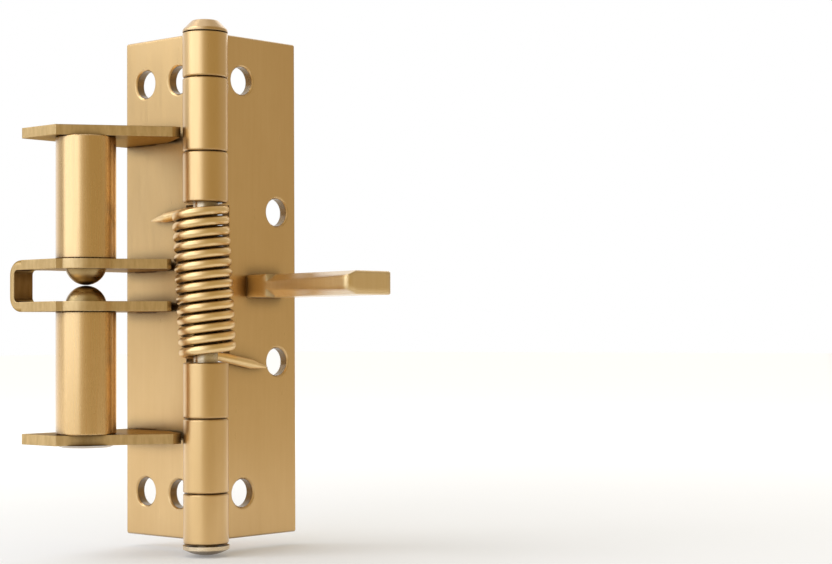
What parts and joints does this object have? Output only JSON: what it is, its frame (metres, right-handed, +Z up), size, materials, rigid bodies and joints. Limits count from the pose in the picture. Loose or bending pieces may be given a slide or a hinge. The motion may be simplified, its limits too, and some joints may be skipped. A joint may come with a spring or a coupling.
{
  "type": "spring loaded door hinge",
  "caption": "Spring loaded butt hinge with a wound torsion spring on the pin and a ball catch that holds the opened leaf's arm",
  "frame": {"origin": "The middle of the frame leaf's four screw holes, on its back face, which lies on the door frame.", "axes": "X runs along the frame leaf towards the pin. Y runs from the back face's front side into the door frame, so the back face looks along +Y and the screw heads sit on the -Y side. Z runs up along the pin."},
  "size_m": [0.0788, 0.0633, 0.1297],
  "materials": {
    "satin_brass": "satin brass plating on pressed steel, with fine drawn grain",
    "spring_wire": "brass-plated drawn spring wire, smooth and shiny",
    "ball_brass": "polished, brass-coloured steel ball",
    "bright_steel": "bright turned steel"
  },
  "bodies": {
    "frame_side": {"frame_leaf": "satin_brass", "hinge_pin": "bright_steel", "pin_cap": "satin_brass", "torsion_spring": "spring_wire", "upper_catch_plate": "satin_brass", "lower_catch_plate": "satin_brass", "ball_guide": "satin_brass", "upper_tube": "satin_brass", "lower_tube": "satin_brass", "upper_tube_plug": "bright_steel", "lower_tube_plug": "bright_steel", "upper_ball_spring": "bright_steel", "lower_ball_spring": "bright_steel"},
    "door_side": {"door_leaf": "satin_brass", "cam_arm": "satin_brass"},
    "upper_ball_body": {"upper_ball": "ball_brass"},
    "lower_ball_body": {"lower_ball": "ball_brass"}
  },
  "joints": [
    {"name": "leaf_hinge", "type": "hinge", "parent": "frame_side", "child": "door_side", "pos_m": [0.01975, -0.0055, 0], "axis": [0, 0, -1], "range_deg": [0, 170], "stiffness_Nm_per_rad": 0.35, "springref_deg": -17.19, "deforming": ["torsion_spring"]},
    {"name": "upper_ball_slide", "type": "slide", "parent": "frame_side", "child": "upper_ball_body", "axis": [0, 0, 1], "range_m": [0, 0.003], "deforming": ["upper_ball_spring"]},
    {"name": "lower_ball_slide", "type": "slide", "parent": "frame_side", "child": "lower_ball_body", "axis": [0, 0, -1], "range_m": [0, 0.003], "deforming": ["lower_ball_spring"]}
  ],
  "couplings": [
    {"joint": "upper_ball_slide", "follows": "leaf_hinge", "m_per_rad": 0.001},
    {"joint": "lower_ball_slide", "follows": "leaf_hinge", "m_per_rad": 0.001}
  ]
}
